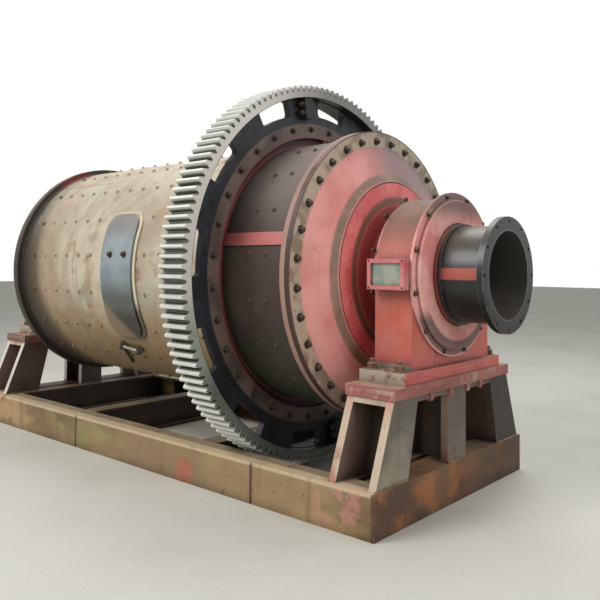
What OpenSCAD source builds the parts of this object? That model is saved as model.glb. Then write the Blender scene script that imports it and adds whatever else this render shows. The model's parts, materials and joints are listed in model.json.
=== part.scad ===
// Overflow ball mill: a lined drum turning in two trunnion bearings on a
// welded base frame. The drum's axis lies along X, the discharge end is
// at +X, and the underside of the base frame is at Z = 0.

/* [Drum shell] */
// Height of the drum's axis over the floor
axis_z = 1170; // [1160:5:1300]
// Outer radius of the rolled shell
shell_r = 765; // [755:1:770]
// Thickness of the shell plate
shell_wall = 22; // [16:1:30]
// Distance from the middle to the outer face of each head flange
head_face_x = 1361; // [1330:1:1400]
// How far the end flanges stand out from the shell
end_flange_w = 35; // [25:1:60]
// Thickness of the flange welded to the shell
shell_flange_t = 30; // [24:1:50]
// Thickness of the head's bolted rim
head_flange_t = 30; // [24:1:50]
// Thickness of the wave liners at their valleys
liner_t = 21; // [12:1:30]
// Height of each liner wave
liner_wave_h = 26; // [10:1:40]
// Number of liner staves around the drum
liner_staves = 20; // [16:2:32]
// Angle of the first stave's middle, seen from the discharge end
liner_phase = 11; // [0:1:17]

/* [Girth gear] */
// Gear module
gear_module = 16; // [16:1:16]
// Number of teeth, even so that both halves match
gear_teeth = 138; // [136:2:140]
// Width of the gear's face
gear_face_w = 180; // [160:5:220]
// Distance from the end of the shell to the middle of the gear
gear_setback = 474; // [460:1:490]
// Depth of the rim under the tooth roots
gear_rim_t = 34; // [25:1:45]
// Thickness of the gear's web
gear_web_t = 40; // [25:1:50]
// How far the web's near face stands past the middle of the rim
gear_web_offset = 33; // [20:1:50]
// How far the web's bore clears the shell
gear_bore_gap = 50; // [30:1:60]
// Number of windows through the web
gear_windows = 12; // [8:2:12]
// Angle that each window spans
gear_window_deg = 14.5; // [8:0.5:16]
// Inner radius of the windows
gear_window_r = 950; // [940:1:970]
// Corner radius of the windows
gear_window_corner = 22; // [8:1:30]
// Width of the mounting flange around the shell
gear_flange_w = 147; // [130:1:160]
// Thickness of the mounting flange
gear_flange_t = 36; // [25:1:45]
// Width of the weld fillet that backs the mounting flange
gear_fillet = 49; // [20:1:60]

/* [Heads and trunnions] */
// Width of the head's bolted rim
head_rim_w = 95; // [85:1:110]
// Radius of the trunnion's root flange
root_flange_r = 505; // [480:1:515]
// How far the head's boss reaches past the root flange
boss_w = 51; // [40:1:65]
// Radius of the dished face of the root flange
root_face_r = 397; // [360:1:420]
// Rise of the cone from the rim to the boss
cone_rise = 57; // [40:1:70]
// Rise of the boss's bevelled edge
boss_rise = 27; // [15:1:30]
// Depth of the root flange's seat in the boss
root_seat = 20; // [12:1:25]
// Rise of the root flange over the boss
root_rise = 17; // [10:1:25]
// Journal radius
journal_r = 262; // [250:1:270]
// Bore radius of the trunnion
trunnion_bore_r = 215; // [200:1:225]
// Fillet radius at the journal's root
journal_fillet = 40; // [20:1:45]

/* [Spouts] */
// Outer radius of the neck outside the bearing
neck_r = 248; // [242:1:252]
// Bore radius of the neck
neck_bore_r = 222; // [216:1:228]
// Wall of the sleeve inside the trunnion
sleeve_wall = 14; // [8:1:20]
// Distance from the bearing's outer seal to the spout's mouth
spout_reach = 276; // [200:1:340]
// Radius of the end flange
mouth_flange_r = 293; // [290:1:310]
// Thickness of the end flange
mouth_flange_t = 30; // [20:1:40]
// Bolt circle radius of the end flange
mouth_bolt_r = 270; // [268:1:274]
// Radius of each bolt hole in the end flange
mouth_hole_r = 9; // [6:0.5:10]
// Number of bolt holes in the end flange
mouth_holes = 12; // [8:1:16]

/* [Bearings] */
// Distance from the trunnion's root flange to the middle of its bearing
bearing_reach = 236; // [230:1:250]
// Width of the bearing housing along the axis
bearing_w = 216; // [180:2:220]
// Outer radius of the bearing cap
cap_r = 400; // [380:1:410]
// Wall of the white-metal bush
bush_wall = 36; // [25:1:45]
// Running clearance of the journal
running_gap = 0.3; // [0.2:0.05:0.4]
// How far the housing's joint flanges reach past the cap
joint_reach = 30; // [20:1:45]
// Thickness of each joint flange
joint_t = 40; // [25:1:50]
// Height of the housing's foot flange
foot_t = 60; // [40:1:70]
// How far the foot flange reaches past the cap
foot_reach = 100; // [70:5:130]
// Length of the foot flange along the axis
foot_l = 260; // [240:2:268]
// How far the outer seal covers reach past the cap
seal_lip = 28; // [15:1:40]
// How far the raised ring on the seal covers stays inside the cap
seal_ring_inset = 8; // [4:1:30]
// Thickness of the seal covers' plate
seal_plate_t = 14; // [10:1:18]
// Height of the raised ring
seal_ring_t = 22; // [12:1:26]
// Radial gap between the seal covers and the journal
seal_gap = 6; // [5.2:0.2:8]

/* [Sight windows] */
// Length of the window's frame along the axis
window_l = 214; // [180:2:220]
// Height of the window's frame
window_h = 150; // [120:2:170]
// Depth of the window's frame
window_d = 45; // [30:1:60]
// Width of the frame's border
window_border = 20; // [14:1:28]
// Thickness of the pane
pane_t = 8; // [5:1:12]
// How far the pane sits behind the frame's face
pane_inset = 14; // [8:1:18]

/* [Manhole] */
// Length of the manhole cover along the drum
manhole_l = 315; // [280:5:360]
// Angle that the cover spans around the drum
manhole_deg = 60; // [40:1:64]
// Position of the middle of the cover along the drum
manhole_x = -97; // [-130:1:0]
// Angle of the cover's middle, from +Y over the top
manhole_angle = 183; // [180:1:186]
// Corner radius of the cover
manhole_corner = 90; // [40:5:120]
// Thickness of the saddle plate under the cover
saddle_t = 10; // [6:1:14]
// How far the saddle reaches past the cover
saddle_margin = 26; // [15:1:35]
// Thickness of the cover
cover_t = 14; // [8:1:20]

/* [Base frame] */
// Distance from the pedestals to the frame's ends
frame_end_gap = 9; // [0:1:40]
// Half width of the base frame
frame_half_w = 760; // [755:1:800]
// Height of the beams
beam_h = 208; // [190:1:220]
// Width of the beams' flanges
beam_flange_w = 140; // [100:5:145]
// Thickness of the beams' flanges
beam_flange_t = 18; // [12:1:24]
// Thickness of the beams' webs
beam_web_t = 14; // [8:1:20]
// Position of the cross beams beside the gear
mid_beam_x = 610; // [560:5:640]
// Width of the cross beams' flanges
cross_flange_w = 120; // [80:5:130]
// Thickness of the ribs inside the side beams
beam_rib_t = 12; // [8:1:16]
// Distance from the edge of the beams' flanges to those ribs
beam_rib_setback = 12; // [4:1:30]
// Radius of the foundation bolt holes
anchor_hole_r = 17; // [10:1:20]
// Distance of the outermost foundation bolt holes from the frame's ends
anchor_end = 140; // [100:5:200]
// Distance of the foundation bolt holes from the frame's side
anchor_inset = 70; // [50:1:90]

/* [Pedestals] */
// Half width of a pedestal at its top
pedestal_top_w = 590; // [570:5:600]
// Half width of a pedestal at its feet
pedestal_foot_w = 735; // [715:5:745]
// Thickness of the pedestals' cast walls
pedestal_wall = 40; // [30:1:50]
// Length of a pedestal along the axis
pedestal_l = 266; // [256:2:270]
// Width of a leg at its top
leg_top_w = 210; // [170:5:230]
// Width of a leg at its foot
leg_foot_w = 265; // [230:5:290]
// Half width of the middle post
post_half_w = 95; // [60:5:110]
// Height of the bar over the openings
head_bar_h = 28; // [20:2:40]
// Thickness of the pedestals' inner ribs
rib_t = 26; // [16:1:34]
// Thickness of the sole plate on each pedestal
sole_t = 55; // [40:1:65]
// How far the sole plate reaches past the pedestal's sides
sole_margin = 8; // [0:1:12]

/* [Hidden] */

$fn = 96;

shell_gap = 0.3;
weld_overlap = 1;
shell_bore_r = shell_r - shell_wall;
end_flange_r = shell_r + end_flange_w;
flange_root_r = shell_r - weld_overlap;
liner_gap = 0.5;
liner_valley_r = shell_bore_r - liner_t;
cone_r = end_flange_r - head_rim_w;
head_inner_x = head_face_x - head_flange_t;
shell_half_l = head_inner_x;
boss_x = head_face_x + cone_rise;
boss_face_x = boss_x + boss_rise;
root_seat_x = boss_face_x - root_seat;
root_face_x = boss_face_x + root_rise;
boss_r = root_flange_r + boss_w;
boss_edge_gap = 6;
boss_edge_r = root_flange_r + boss_edge_gap;
root_edge_rise = 2;
head_bore_r = 300;
head_t = 44;
boss_inset = 20;
cone_inset = 10;
spigot_gap = 0.5;
spigot_l = 40;
journal_reach = 16;
collar_l = 20;
neck_step = 10;
bearing_x = root_face_x + bearing_reach;
housing_in_x = bearing_x - bearing_w / 2;
housing_out_x = bearing_x + bearing_w / 2;
joint_half_w = cap_r + joint_reach;
foot_half_w = cap_r + foot_reach;
seal_r = cap_r + seal_lip;
seal_ring_r = cap_r - seal_ring_inset;
seal_chamfer = 8;
seal_out_x = housing_out_x + seal_plate_t + seal_ring_t;
mouth_x = seal_out_x + spout_reach;
journal_end_x = seal_out_x + journal_reach;
collar_x = journal_end_x + collar_l;
neck_bore_x = collar_x + neck_step;
bush_bore_r = journal_r + running_gap;
bush_r = bush_bore_r + bush_wall;
pedestal_out_x = bearing_x + pedestal_l / 2;
pedestal_in_x = bearing_x - pedestal_l / 2;
sole_z = 590;
foot_z = sole_z + sole_t;
leg_h = sole_z - beam_h;
frame_half_l = pedestal_out_x + frame_end_gap;
anchor_pitch = (frame_half_l - anchor_end) / 2;
seat_beam_x = pedestal_in_x + pedestal_wall / 2;
rib_bay = (seat_beam_x - mid_beam_x) / 3;
rib_places = [mid_beam_x / 2, mid_beam_x + rib_bay, mid_beam_x + 2 * rib_bay];

pitch_r = gear_module * gear_teeth / 2;
tip_r = pitch_r + gear_module;
tooth_root_r = pitch_r - 1.25 * gear_module;
rim_inner_r = tooth_root_r - gear_rim_t;
pressure_angle = 20;
gear_base_r = pitch_r * cos(pressure_angle);
tooth_pitch = 360 / gear_teeth;
gear_split = 99;
gear_x = shell_half_l - gear_setback;
web_near_x = gear_x + gear_web_offset;
web_far_x = web_near_x - gear_web_t;
web_bore_r = shell_r + gear_bore_gap;
gear_flange_r = shell_r + gear_flange_w;
window_pitch = 360 / gear_windows;
window_rim_gap = 5;
window_outer_r = rim_inner_r - window_rim_gap;
flank_steps = 3;
window_corner_steps = 3;
backlash_deg = 0.03;
lug_t = 34;
lug_flange_gap = 13;
lug_end_gap = 10;
lug_inner_r = gear_flange_r + lug_flange_gap;
lug_l = gear_face_w - 2 * lug_end_gap;

strip_w = 68;
strip_t = 9;
strip_root = 20;
strip_end_gap = 2;
strip_angle = 167;
saddle_extra_deg = 4;

grate_t = 30;
grate_gap = 1;
grate_x = head_inner_x - grate_t;
grate_sectors = 8;
grate_slots = 5;
grate_eye_r = 190;
grate_rib_half = 36;
grate_rim_w = 103;
slot_w = 14;
slot_r0 = 300;
slot_r1 = shell_bore_r - grate_rim_w;

// Places a 2D outline in the YZ plane at x, centred on the drum's axis,
// with its thickness towards +X.
module on_axis(x = 0) {
    translate([x, 0, axis_z])
        rotate([90, 0, 90])
            children();
}

// Places a 2D outline of Y and Z values upright at x, towards +X.
module upright(x) {
    translate([x, 0, 0])
        rotate([90, 0, 90])
            children();
}

// A round body along the drum's axis from x0 to x1.
module disc(r, x0, x1) {
    on_axis(x0) cylinder(r = r, h = x1 - x0);
}

// A hollow round body along the drum's axis from x0 to x1.
module tube(r_out, r_in, x0, x1) {
    on_axis(x0) difference() {
        cylinder(r = r_out, h = x1 - x0);
        translate([0, 0, -1]) cylinder(r = r_in, h = x1 - x0 + 2);
    }
}

// A body turned about the drum's axis from [radius, x] points.
module turned(points) {
    on_axis(0) rotate_extrude() polygon(points);
}

// The same piece at the feed end.
module feed_side() {
    mirror([1, 0, 0]) children();
}

function polar(r, a) = [r * cos(a), r * sin(a)];

// Base frame

module side_beam() {
    length = 2 * frame_half_l - 2 * beam_web_t;
    difference() {
        union() {
            translate([-length / 2, -frame_half_w, 0])
                cube([length, beam_web_t, beam_h]);
            for (z = [0, beam_h - beam_flange_t])
                translate([-length / 2, -frame_half_w, z])
                    cube([length, beam_flange_w, beam_flange_t]);
        }
        for (i = [-2 : 2])
            translate([i * anchor_pitch, -frame_half_w + anchor_inset, -1])
                cylinder(r = anchor_hole_r, h = beam_flange_t + 2);
    }
}

// The ribs welded inside the side beams, between their flanges.
module side_beam_ribs() {
    rib_w = beam_flange_w - beam_web_t - beam_rib_setback;
    rib_y = frame_half_w - beam_web_t - rib_w;
    color("#8a6236") for (end = [0, 1], side = [0, 1], x = rib_places)
        mirror([end, 0, 0]) mirror([0, side, 0])
            translate([x - beam_rib_t / 2, rib_y, beam_flange_t])
                cube([beam_rib_t, rib_w, beam_h - 2 * beam_flange_t]);
}

module side_beam_left() {
    color("#a8834a") side_beam();
}

module side_beam_right() {
    color("#a8834a") mirror([0, 1, 0]) side_beam();
}

module end_beam() {
    flange_half_w = frame_half_w - beam_flange_w;
    web_x = frame_half_l - beam_web_t;
    translate([web_x, -frame_half_w, 0])
        cube([beam_web_t, 2 * frame_half_w, beam_h]);
    for (z = [0, beam_h - beam_flange_t])
        translate([web_x - beam_flange_w, -flange_half_w, z])
            cube([beam_flange_w + weld_overlap, 2 * flange_half_w, beam_flange_t]);
}

module discharge_end_beam() {
    color("#7a5030") end_beam();
}

module feed_end_beam() {
    color("#7a5030") feed_side() end_beam();
}

module cross_beam(x) {
    half_w = frame_half_w - beam_web_t;
    flange_half_w = frame_half_w - beam_flange_w;
    translate([x - beam_web_t / 2, -half_w, beam_flange_t])
        cube([beam_web_t, 2 * half_w, beam_h - 2 * beam_flange_t]);
    for (z = [0, beam_h - beam_flange_t])
        translate([x - cross_flange_w / 2, -flange_half_w, z])
            cube([cross_flange_w, 2 * flange_half_w, beam_flange_t]);
}

module cross_beams() {
    color("#7a5030")
        for (x = [-seat_beam_x, -mid_beam_x, mid_beam_x, seat_beam_x]) cross_beam(x);
}

// Pedestals

// One cast wall of a pedestal, as Y and Z values over the beams.
module pedestal_outline() {
    opening_top = leg_h - head_bar_h;
    slope = (pedestal_foot_w - leg_foot_w) - (pedestal_top_w - leg_top_w);
    inner_top = pedestal_top_w - leg_top_w + slope * head_bar_h / leg_h;
    difference() {
        polygon([
            [-pedestal_foot_w, 0], [pedestal_foot_w, 0],
            [pedestal_top_w, leg_h], [-pedestal_top_w, leg_h]
        ]);
        for (side = [-1, 1])
            polygon([
                [side * post_half_w, -1],
                [side * (pedestal_foot_w - leg_foot_w), -1],
                [side * (pedestal_foot_w - leg_foot_w), 0],
                [side * inner_top, opening_top],
                [side * post_half_w, opening_top]
            ]);
    }
}

module pedestal_wall_at(x) {
    translate([0, 0, beam_h]) upright(x) linear_extrude(pedestal_wall) pedestal_outline();
}

module pedestal_outer() {
    pedestal_wall_at(pedestal_out_x - pedestal_wall);
}

module pedestal_inner() {
    pedestal_wall_at(pedestal_in_x);
}

// The ribs between the two walls: one sloped rib in each leg, one in the
// middle post, and the plate that closes the top.
module pedestal_ribs() {
    rib_l = pedestal_l - 2 * pedestal_wall;
    under = leg_h - head_bar_h;
    foot_y = pedestal_foot_w - leg_foot_w;
    top_y = pedestal_top_w - leg_top_w;
    rib_y = top_y + (foot_y - top_y) * head_bar_h / leg_h;
    plate_y = pedestal_top_w + (pedestal_foot_w - pedestal_top_w) * head_bar_h / leg_h;
    post_y = rib_t / 2;
    translate([0, 0, beam_h]) upright(pedestal_in_x + pedestal_wall) linear_extrude(rib_l)
        polygon([
            [-plate_y, under], [-rib_y - rib_t, under], [-foot_y - rib_t, 0], [-foot_y, 0],
            [-rib_y, under], [-post_y, under], [-post_y, 0], [post_y, 0],
            [post_y, under], [rib_y, under], [foot_y, 0], [foot_y + rib_t, 0],
            [rib_y + rib_t, under], [plate_y, under], [pedestal_top_w, leg_h], [-pedestal_top_w, leg_h]
        ]);
}

module sole_plate() {
    half_w = pedestal_top_w + sole_margin;
    translate([pedestal_in_x - sole_margin, -half_w, sole_z])
        cube([pedestal_l + 2 * sole_margin, 2 * half_w, sole_t]);
}

module discharge_pedestal_outer() {
    color("#cbb9a0") pedestal_outer();
}

module discharge_pedestal_inner() {
    color("#cbb9a0") pedestal_inner();
}

module discharge_pedestal_ribs() {
    color("#8a7a66") pedestal_ribs();
}

module discharge_sole_plate() {
    color("#cf8f86") sole_plate();
}

module feed_pedestal_outer() {
    color("#cbb9a0") feed_side() pedestal_outer();
}

module feed_pedestal_inner() {
    color("#cbb9a0") feed_side() pedestal_inner();
}

module feed_pedestal_ribs() {
    color("#8a7a66") feed_side() pedestal_ribs();
}

module feed_sole_plate() {
    color("#cf8f86") feed_side() sole_plate();
}

// Bearings

module bearing_base() {
    difference() {
        union() {
            translate([bearing_x - foot_l / 2, -foot_half_w, foot_z])
                cube([foot_l, 2 * foot_half_w, foot_t]);
            translate([housing_in_x, -cap_r, foot_z + foot_t / 2])
                cube([bearing_w, 2 * cap_r, axis_z - foot_z - foot_t / 2]);
            translate([housing_in_x, -joint_half_w, axis_z - joint_t])
                cube([bearing_w, 2 * joint_half_w, joint_t]);
        }
        disc(bush_r, housing_in_x - 1, housing_out_x + 1);
    }
}

module upper_half(x0, x1, half_w) {
    translate([x0 - 1, -half_w, axis_z])
        cube([x1 - x0 + 2, 2 * half_w, half_w]);
}

module bearing_cap() {
    difference() {
        union() {
            intersection() {
                disc(cap_r, housing_in_x, housing_out_x);
                upper_half(housing_in_x, housing_out_x, joint_half_w);
            }
            translate([housing_in_x, -joint_half_w, axis_z])
                cube([bearing_w, 2 * joint_half_w, joint_t]);
        }
        disc(bush_r, housing_in_x - 1, housing_out_x + 1);
    }
}

module bush() {
    tube(bush_r, bush_bore_r, housing_in_x, housing_out_x);
}

module outer_seal() {
    plate_x = housing_out_x + seal_plate_t;
    bore_r = journal_r + seal_gap;
    tube(seal_r, bore_r, housing_out_x, plate_x);
    turned([
        [bore_r, plate_x], [seal_ring_r, plate_x],
        [seal_ring_r, seal_out_x - seal_chamfer],
        [seal_ring_r - seal_chamfer, seal_out_x],
        [bore_r, seal_out_x]
    ]);
}

module inner_seal() {
    tube(seal_ring_r, journal_r + seal_gap, housing_in_x - seal_plate_t, housing_in_x);
}

module window_frame(side) {
    inner_l = window_l - 2 * window_border;
    inner_h = window_h - 2 * window_border;
    y0 = side > 0 ? joint_half_w : -joint_half_w - window_d;
    translate([bearing_x, y0 + window_d / 2, axis_z]) difference() {
        cube([window_l, window_d, window_h], center = true);
        cube([inner_l, window_d + 2, inner_h], center = true);
    }
}

module window_pane(side) {
    inner_l = window_l - 2 * window_border;
    inner_h = window_h - 2 * window_border;
    y = joint_half_w + window_d - pane_inset - pane_t / 2;
    translate([bearing_x, side * y, axis_z])
        cube([inner_l, pane_t, inner_h], center = true);
}

module sight_windows() {
    for (side = [-1, 1]) window_frame(side);
}

module window_panes() {
    for (side = [-1, 1]) window_pane(side);
}

module discharge_bearing_base() {
    color("#c9584c") bearing_base();
}

module discharge_bearing_cap() {
    color("#c9584c") bearing_cap();
}

module discharge_bush() {
    color("#b9a878") bush();
}

module discharge_outer_seal() {
    color("#cf7670") outer_seal();
}

module discharge_inner_seal() {
    color("#9a4a42") inner_seal();
}

module discharge_sight_windows() {
    color("#b83a3a") sight_windows();
}

module discharge_window_panes() {
    color("#cfd6cc") window_panes();
}

module feed_bearing_base() {
    color("#c9584c") feed_side() bearing_base();
}

module feed_bearing_cap() {
    color("#c9584c") feed_side() bearing_cap();
}

module feed_bush() {
    color("#b9a878") feed_side() bush();
}

module feed_outer_seal() {
    color("#cf7670") feed_side() outer_seal();
}

module feed_inner_seal() {
    color("#9a4a42") feed_side() inner_seal();
}

module feed_sight_windows() {
    color("#b83a3a") feed_side() sight_windows();
}

module feed_window_panes() {
    color("#cfd6cc") feed_side() window_panes();
}

// Drum shell

module shell() {
    color("#b3a37e") {
        tube(shell_r, shell_bore_r, -shell_half_l, shell_half_l);
        tube(end_flange_r, flange_root_r, shell_half_l - shell_flange_t, shell_half_l);
        tube(end_flange_r, flange_root_r, -shell_half_l, -shell_half_l + shell_flange_t);
    }
}

// One wave of the liners, from valley to crest and back.
function liner_r(a) = liner_valley_r - liner_wave_h * (1 - cos(a * liner_staves)) / 2;

module shell_liners() {
    liner_l = 2 * (shell_half_l - grate_t);
    steps = 6 * liner_staves;
    color("#6d655c") on_axis(-liner_l / 2) difference() {
        cylinder(r = shell_bore_r - liner_gap, h = liner_l);
        translate([0, 0, -1]) rotate(liner_phase) linear_extrude(liner_l + 2)
            polygon([for (i = [0 : steps - 1]) polar(liner_r(360 * i / steps), 360 * i / steps)]);
    }
}

module shell_strips() {
    strip_x0 = web_far_x + strip_end_gap;
    strip_x1 = shell_half_l - shell_flange_t;
    color("#b0433f") for (a = [strip_angle, strip_angle + 180])
        on_axis(strip_x0) rotate(a) linear_extrude(strip_x1 - strip_x0) difference() {
            translate([shell_r - strip_root, -strip_w / 2])
                square([strip_root + strip_t, strip_w]);
            circle(r = shell_r + shell_gap, $fn = 360);
        }
}

// A curved plate on the shell with rounded corners, around a middle at
// manhole_x and manhole_angle.
module curved_plate(r, thick, length, span, corner) {
    chord = 2 * r * sin(span / 2);
    intersection() {
        tube(r + thick, r, manhole_x - length, manhole_x + length, $fn = 360);
        translate([manhole_x, 0, axis_z]) rotate([manhole_angle - 90, 0, 0])
            linear_extrude(r + 2 * thick) rounded_outline(length, chord, corner);
    }
}

// A rectangle with round corners, centred.
module rounded_outline(w, h, r) {
    square([w - 2 * r, h], center = true);
    square([w, h - 2 * r], center = true);
    for (x = [-1, 1], y = [-1, 1])
        translate([x * (w / 2 - r), y * (h / 2 - r)]) circle(r = r);
}

module manhole_saddle() {
    color("#8f8a7c") curved_plate(
        shell_r + shell_gap, saddle_t, manhole_l + 2 * saddle_margin,
        manhole_deg + saddle_extra_deg, manhole_corner + saddle_margin);
}

module manhole_cover() {
    color("#8495a1") curved_plate(
        shell_r + 2 * shell_gap + saddle_t, cover_t, manhole_l, manhole_deg, manhole_corner);
}

// Girth gear

function involute(r) = tan(acos(gear_base_r / r)) * 180 / PI - acos(gear_base_r / r);

function half_tooth(r) =
    tooth_pitch / 4 - backlash_deg + involute(pitch_r) - involute(r);

function flank(c, side, radii) = [for (r = radii) polar(r, c + side * half_tooth(r))];

function tooth(c) = let (
    up = [for (k = [0 : flank_steps]) tooth_root_r + (tip_r - tooth_root_r) * k / flank_steps],
    down = [for (k = [flank_steps : -1 : 0]) up[k]]
) concat(flank(c, -1, up), flank(c, 1, down));

// Half of the toothed outline, closed along the split through the axis.
module toothed_half() {
    count = gear_teeth / 2;
    outline = [for (i = [0 : count - 1]) each tooth(gear_split + tooth_pitch * (i + 0.5))];
    polygon(concat(
        [polar(tooth_root_r, gear_split)],
        outline,
        [polar(tooth_root_r, gear_split + 180)]
    ));
}

// The half plane that this half of the gear lies in.
module half_plane(r) {
    rotate(gear_split) translate([-r, 0]) square([2 * r, r]);
}

// Points of an arc about a centre, from angle a0 to a1.
function arc(centre, r, a0, a1, steps) =
    [for (k = [0 : steps]) centre + polar(r, a0 + (a1 - a0) * k / steps)];

// The outline of a window about angle a: a ring sector with round corners.
function window_outline(a) = let (
    c = gear_window_corner,
    n = window_corner_steps,
    half = gear_window_deg / 2,
    inner = asin(c / (gear_window_r + c)),
    outer = asin(c / (window_outer_r - c)),
    between = [0.5, 0, -0.5]
) concat(
    arc(polar(gear_window_r + c, a + half - inner), c, a + half - inner + 180, a + half + 90, n),
    arc(polar(window_outer_r - c, a + half - outer), c, a + half + 90, a + half - outer, n),
    [for (k = between) polar(window_outer_r, a + (half - outer) * k)],
    arc(polar(window_outer_r - c, a - half + outer), c, a - half + outer, a - half - 90, n),
    arc(polar(gear_window_r + c, a - half + inner), c, a - half - 90, a - half + inner - 180, n),
    [for (k = between) polar(gear_window_r, a - (half - inner) * k)]
);

module half_web() {
    difference() {
        intersection() {
            circle(r = rim_inner_r + weld_overlap);
            half_plane(tip_r);
        }
        circle(r = web_bore_r);
        for (i = [0 : gear_windows / 2 - 1])
            polygon(window_outline(gear_split + window_pitch * (i + 0.5)));
    }
}

// The bolted lugs that join the halves, on both sides of the web.
module split_lugs() {
    for (end = [0, 180])
        rotate(gear_split + end)
            translate([lug_inner_r, end == 0 ? 0 : -lug_t])
                square([rim_inner_r + weld_overlap - lug_inner_r, lug_t]);
}

module gear_half() {
    on_axis(gear_x - gear_face_w / 2) linear_extrude(gear_face_w) difference() {
        toothed_half();
        circle(r = rim_inner_r);
    }
    on_axis(web_far_x) linear_extrude(gear_web_t) half_web();
    on_axis(gear_x - lug_l / 2) linear_extrude(lug_l) split_lugs();
}

module gear_half_front() {
    color("#9aa39c") gear_half();
}

module gear_half_back() {
    color("#9aa39c") translate([0, 0, axis_z]) rotate([180, 0, 0]) translate([0, 0, -axis_z])
        gear_half();
}

module gear_mounting_flange() {
    back_x = web_far_x - gear_flange_t;
    color("#7c463f") turned([
        [shell_r + shell_gap, web_far_x], [gear_flange_r, web_far_x],
        [gear_flange_r, back_x], [shell_r + gear_fillet, back_x],
        [shell_r + shell_gap, back_x - gear_fillet]
    ]);
}

// Heads, trunnions and spouts

module head() {
    turned([
        [end_flange_r, head_inner_x], [end_flange_r, head_face_x],
        [cone_r, head_face_x], [boss_r, boss_x],
        [boss_edge_r, boss_face_x], [boss_edge_r, root_seat_x],
        [head_bore_r, root_seat_x], [head_bore_r, root_seat_x - head_t],
        [boss_r - boss_inset, boss_x - head_t], [cone_r - cone_inset, head_inner_x]
    ]);
}

module trunnion() {
    fillet_x = root_face_x + journal_fillet;
    steps = 6;
    root = [for (i = [0 : steps])
        let (a = 90 * i / steps)
        [journal_r + journal_fillet * (1 - sin(a)), fillet_x - journal_fillet * cos(a)]];
    turned(concat(
        [
            [trunnion_bore_r, root_seat_x - spigot_l],
            [head_bore_r - spigot_gap, root_seat_x - spigot_l],
            [head_bore_r - spigot_gap, root_seat_x],
            [root_flange_r, root_seat_x],
            [root_flange_r, boss_face_x + root_edge_rise],
            [root_face_r, root_face_x]
        ],
        root,
        [[journal_r, journal_end_x], [trunnion_bore_r, journal_end_x]]
    ));
}

module spout() {
    sleeve_r = trunnion_bore_r - spigot_gap;
    flange_x = mouth_x - mouth_flange_t;
    difference() {
        turned([
            [sleeve_r - sleeve_wall, root_seat_x - spigot_l],
            [sleeve_r, root_seat_x - spigot_l],
            [sleeve_r, journal_end_x], [journal_r, journal_end_x],
            [journal_r, collar_x], [neck_r, collar_x],
            [neck_r, flange_x], [mouth_flange_r, flange_x],
            [mouth_flange_r, mouth_x], [neck_bore_r, mouth_x],
            [neck_bore_r, neck_bore_x], [sleeve_r - sleeve_wall, neck_bore_x]
        ]);
        for (i = [0 : mouth_holes - 1])
            on_axis(flange_x - 1) rotate(360 * i / mouth_holes)
                translate([mouth_bolt_r, 0]) cylinder(r = mouth_hole_r, h = mouth_flange_t + 2);
    }
}

// One slot of the grate, the i-th from the middle.
module grate_slot(i) {
    pitch = (slot_r1 - slot_r0) / (grate_slots - 1);
    r = slot_r0 + i * pitch;
    half = r * sin(180 / grate_sectors) - grate_rib_half;
    translate([r, 0]) square([slot_w, 2 * half], center = true);
}

// The slotted grate that holds the balls back at the discharge end.
module discharge_grate() {
    color("#7d746a") difference() {
        disc(shell_bore_r - grate_gap, grate_x, grate_x + grate_t);
        disc(grate_eye_r, grate_x - 1, grate_x + grate_t + 1);
        on_axis(grate_x - 1) linear_extrude(grate_t + 2)
            for (s = [0 : grate_sectors - 1])
                rotate(360 * s / grate_sectors)
                    for (i = [0 : grate_slots - 1]) grate_slot(i);
    }
}

module discharge_head() {
    color("#cf6a66") head();
}

module discharge_trunnion() {
    color("#b8433f") trunnion();
}

module discharge_spout() {
    color("#3a3d40") spout();
}

module feed_head() {
    color("#cf6a66") feed_side() head();
}

module feed_trunnion() {
    color("#b8433f") feed_side() trunnion();
}

module feed_spout() {
    color("#3a3d40") feed_side() spout();
}

side_beam_left();
side_beam_right();
side_beam_ribs();
discharge_end_beam();
feed_end_beam();
cross_beams();
discharge_pedestal_outer();
discharge_pedestal_inner();
discharge_pedestal_ribs();
discharge_sole_plate();
feed_pedestal_outer();
feed_pedestal_inner();
feed_pedestal_ribs();
feed_sole_plate();
discharge_bearing_base();
discharge_bearing_cap();
discharge_bush();
discharge_outer_seal();
discharge_inner_seal();
discharge_sight_windows();
discharge_window_panes();
feed_bearing_base();
feed_bearing_cap();
feed_bush();
feed_outer_seal();
feed_inner_seal();
feed_sight_windows();
feed_window_panes();
shell();
shell_liners();
gear_mounting_flange();
gear_half_front();
gear_half_back();
shell_strips();
manhole_saddle();
manhole_cover();
discharge_head();
discharge_trunnion();
discharge_spout();
discharge_grate();
feed_head();
feed_trunnion();
feed_spout();
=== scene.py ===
# %% [markdown]
# # A ball mill, dressed for its picture
# The mill itself comes from its CAD model: a drum with a big girth gear, two bearings on pedestals, and a
# welded base frame. In these cells we give each of its surfaces a worn, dusty finish and add the small
# things that a fitter would bolt, weld or screw on. We start by loading the mill as a fixed frame. Nothing
# in it may move or change shape, so every later piece is placed from the frame's own sizes.

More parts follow.
